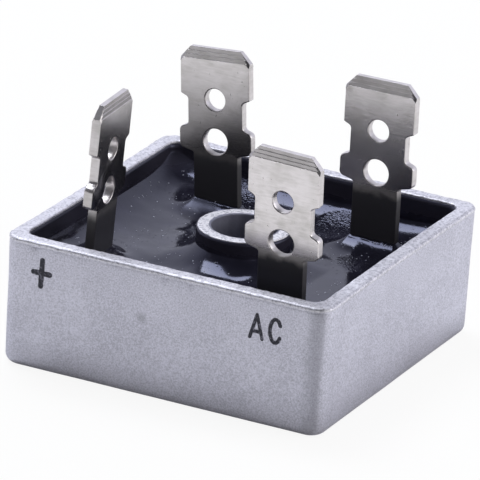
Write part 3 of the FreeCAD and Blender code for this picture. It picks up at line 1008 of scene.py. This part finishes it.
class RECTIFIER_OT_marks(bpy.types.Operator):
    """Prints the plus mark and the letters A and C on the front wall"""

    bl_idname = "rectifier.marks"
    bl_label = "Printed marks"

    def execute(self, context):
        settings, case_settings = context.scene.rectifier_marks, context.scene.rectifier_case
        base = CASE_HIGH.x - 2 * case_settings.flare

        def front(at, lift):
            """Point on the front wall, sunk a little or lifted."""
            wall = base + 2 * case_settings.flare * at.y / CASE_HIGH.z
            return Vector((at.x, -(wall + lift - SUNK), at.y))

        work = bmesh.new()
        lift = SUNK + settings.thickness + case_settings.unevenness * CLEAR_OF_WAVES
        x, z = PLUS_MIDDLE
        plus = (((x + PLUS_LEAN, z + PLUS_UPRIGHT / 2), (x - PLUS_LEAN, z - PLUS_UPRIGHT / 2)),
                ((x - PLUS_ACROSS / 2, z), (x + PLUS_ACROSS / 2, z)))
        for mark, width in ((plus, settings.plus_stroke), (LETTER_A, settings.letter_stroke)):
            for number, (start, end) in enumerate(mark):
                stroke(work, even_points(start, end), width, lift + number * CROSSING_LIFT, front)
        (x, z), (wide, high) = LETTER_C_MIDDLE, LETTER_C_RADII
        first, last = LETTER_C_ENDS
        arc = [first + (last - first) * i / LETTER_C_STEPS for i in range(LETTER_C_STEPS + 1)]
        curve = [(x + wide * math.cos(at), z + high * math.sin(at)) for at in arc]
        stroke(work, curve, LETTER_C_STROKE * settings.letter_stroke, lift, front)
        bmesh.ops.recalc_face_normals(work, faces=work.faces)
        mesh = bpy.data.meshes.new("printed_marks")
        work.to_mesh(mesh)
        work.free()
        mesh.materials.append(printed_ink(settings))
        finish_piece(link_mesh("printed_marks", mesh), None)
        return {"FINISHED"}


# Stage

# Places and sizes in metres
FLOOR_REACH, FLOOR_DROP = 1.5, 0.02 * MM
LAMP_TARGET = Vector((0, 0, 0.008))
SOFT_BOX_PLACE, SOFT_BOX_SIZE = Vector((-0.18, 0.1, 0.425)), 0.22
SIDE_LAMP_PLACE, SIDE_LAMP_SIZE = Vector((0.42, 0.12, 0.2)), 0.3
NEUTRAL, COOL = (1.0, 1.0, 1.0), (0.88, 0.92, 1.0)
# Width of the camera's sensor in millimetres
SENSOR_WIDTH = 36.0


def aim(thing, target):
    """Turns a lamp towards a point."""
    thing.rotation_euler = (target - thing.location).to_track_quat("-Z", "Y").to_euler()


def add_lamp(name, place, size, watts, tint):
    """Soft square lamp aimed at the object."""
    lamp = bpy.data.lights.new(name, "AREA")
    lamp.size = size
    lamp.energy = watts
    lamp.color = tint
    made = bpy.data.objects.new(name, lamp)
    made.location = place
    aim(made, LAMP_TARGET)
    bpy.context.scene.collection.objects.link(made)


def studio_world(settings):
    """Even light, with a white backdrop for what looks at it and a dark room behind the camera."""
    world = bpy.data.worlds.new("studio")
    bpy.context.scene.world = world
    world.use_nodes = True
    tree = Tree(world.node_tree)
    background = world.node_tree.nodes["Background"]
    path = tree.node("ShaderNodeLightPath").outputs
    mirrored = tree.math("MAXIMUM", path["Is Glossy Ray"], path["Is Transmission Ray"])
    direction = tree.node("ShaderNodeTexCoord").outputs["Generated"]
    behind = (math.sin(settings.azimuth), -math.cos(settings.azimuth), 0.0)
    inputs = {0: direction, 1: behind}
    towards = tree.node("ShaderNodeVectorMath", inputs, operation="DOT_PRODUCT").outputs["Value"]
    ahead = tree.step(towards, -0.15, 0.35, 1.0, 0.0)
    low = tree.step(tree.apart(direction)[2], 0.55, 0.85, 1.0, 0.0)
    lit = tree.times(ahead, low)
    seen = tree.plus(settings.dark_share, tree.times(lit, 1.0 - settings.dark_share))
    extra = tree.times(mirrored, tree.math("SUBTRACT", seen, settings.world_level))
    level = tree.plus(settings.world_level, extra)
    tree.feed(background.inputs["Strength"], tree.math("MAXIMUM", level, path["Is Camera Ray"]))
    tree.feed(background.inputs["Color"], tree.mix(mirrored, (0.99, 0.99, 1.0), tuple(settings.mirrored)))


def floor_finish(settings):
    """Pale floor that keeps the shadow and shows nearly white to the camera."""
    material = bpy.data.materials.new("pale_floor")
    material.use_nodes = True
    nodes = material.node_tree.nodes
    tree = Tree(material.node_tree)
    shader = nodes["Principled BSDF"]
    shader.inputs["Base Color"].default_value = (*settings.floor, 1.0)
    shader.inputs["Roughness"].default_value = 0.9
    shader.inputs["Specular IOR Level"].default_value = 0.0
    glow = tree.node("ShaderNodeEmission", {"Color": (1.0, 1.0, 1.0, 1.0), "Strength": 1.0})
    path = tree.node("ShaderNodeLightPath").outputs
    seen = tree.times(path["Is Camera Ray"], settings.floor_glow)
    mixed = tree.node("ShaderNodeMixShader", {0: seen, 1: shader.outputs[0], 2: glow.outputs[0]})
    tree.feed(nodes["Material Output"].inputs["Surface"], mixed.outputs[0])
    return material


def add_camera(settings):
    """Camera at the photograph's viewing angle."""
    azimuth, elevation, roll = settings.azimuth, settings.elevation, settings.roll
    back = Vector((math.sin(azimuth) * math.cos(elevation), -math.cos(azimuth) * math.cos(elevation),
                   math.sin(elevation)))
    level_right = (-back).cross(Vector((0, 0, 1))).normalized()
    level_down = (-back).cross(level_right)
    right = level_right * math.cos(roll) + level_down * math.sin(roll)
    down = level_down * math.cos(roll) - level_right * math.sin(roll)
    place = back * settings.distance - right * settings.side_offset - down * settings.down_offset
    lens = bpy.data.cameras.new("camera")
    lens.sensor_width = SENSOR_WIDTH
    lens.lens = SENSOR_WIDTH * settings.focal_share
    lens.clip_start, lens.clip_end = 0.05, 20.0
    camera = bpy.data.objects.new("camera", lens)
    turn = Matrix((right, -down, back)).transposed()
    camera.matrix_world = Matrix.Translation(place) @ turn.to_4x4()
    bpy.context.scene.collection.objects.link(camera)
    bpy.context.scene.camera = camera


class RECTIFIER_OT_stage(bpy.types.Operator):
    """Sets the floor, the lamps, the backdrop and the camera"""

    bl_idname = "rectifier.stage"
    bl_label = "Stage"

    def execute(self, context):
        settings = context.scene.rectifier_stage
        signs = ((-1, -1), (1, -1), (1, 1), (-1, 1))
        square = [(FLOOR_REACH * x, FLOOR_REACH * y, -FLOOR_DROP) for x, y in signs]
        floor = mesh_object("floor", square, [(0, 1, 2, 3)], smooth=False)
        floor.data.materials.append(floor_finish(settings))
        studio_world(settings)
        add_lamp("soft_box", SOFT_BOX_PLACE, SOFT_BOX_SIZE, settings.key_power, COOL)
        add_lamp("side_lamp", SIDE_LAMP_PLACE, SIDE_LAMP_SIZE, settings.fill_power, NEUTRAL)
        add_camera(settings)
        context.scene.view_settings.view_transform = "Standard"
        return {"FINISHED"}


class RECTIFIER_PT_panel(bpy.types.Panel):
    """Lists the steps that dress the rectifier"""

    bl_label = "Bridge rectifier"
    bl_space_type = "VIEW_3D"
    bl_region_type = "UI"
    bl_category = "Rectifier"

    def draw(self, context):
        for step in STEPS:
            self.layout.operator(step.bl_idname)
        for name in GROUPS:
            group = getattr(context.scene, name)
            box = self.layout.box()
            for key in group.__annotations__:
                box.prop(group, key)


GROUPS = {
    "rectifier_case": CaseSettings,
    "rectifier_potting": PottingSettings,
    "rectifier_tabs": TabSettings,
    "rectifier_marks": MarkSettings,
    "rectifier_stage": StageSettings,
}
STEPS = (RECTIFIER_OT_case, RECTIFIER_OT_potting, RECTIFIER_OT_tabs, RECTIFIER_OT_bridge, RECTIFIER_OT_marks,
         RECTIFIER_OT_stage)
CLASSES = (*GROUPS.values(), *STEPS, RECTIFIER_PT_panel)


def register():
    for item in CLASSES:
        bpy.utils.register_class(item)
    for name, group in GROUPS.items():
        setattr(bpy.types.Scene, name, PointerProperty(type=group))


def unregister():
    for name in GROUPS:
        delattr(bpy.types.Scene, name)
    for item in reversed(CLASSES):
        bpy.utils.unregister_class(item)


def main():
    """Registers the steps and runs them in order."""
    register()
    bpy.ops.rectifier.case()
    bpy.ops.rectifier.potting()
    bpy.ops.rectifier.tabs()
    bpy.ops.rectifier.bridge()
    bpy.ops.rectifier.marks()
    bpy.ops.rectifier.stage()


if __name__ == "__main__":
    main()
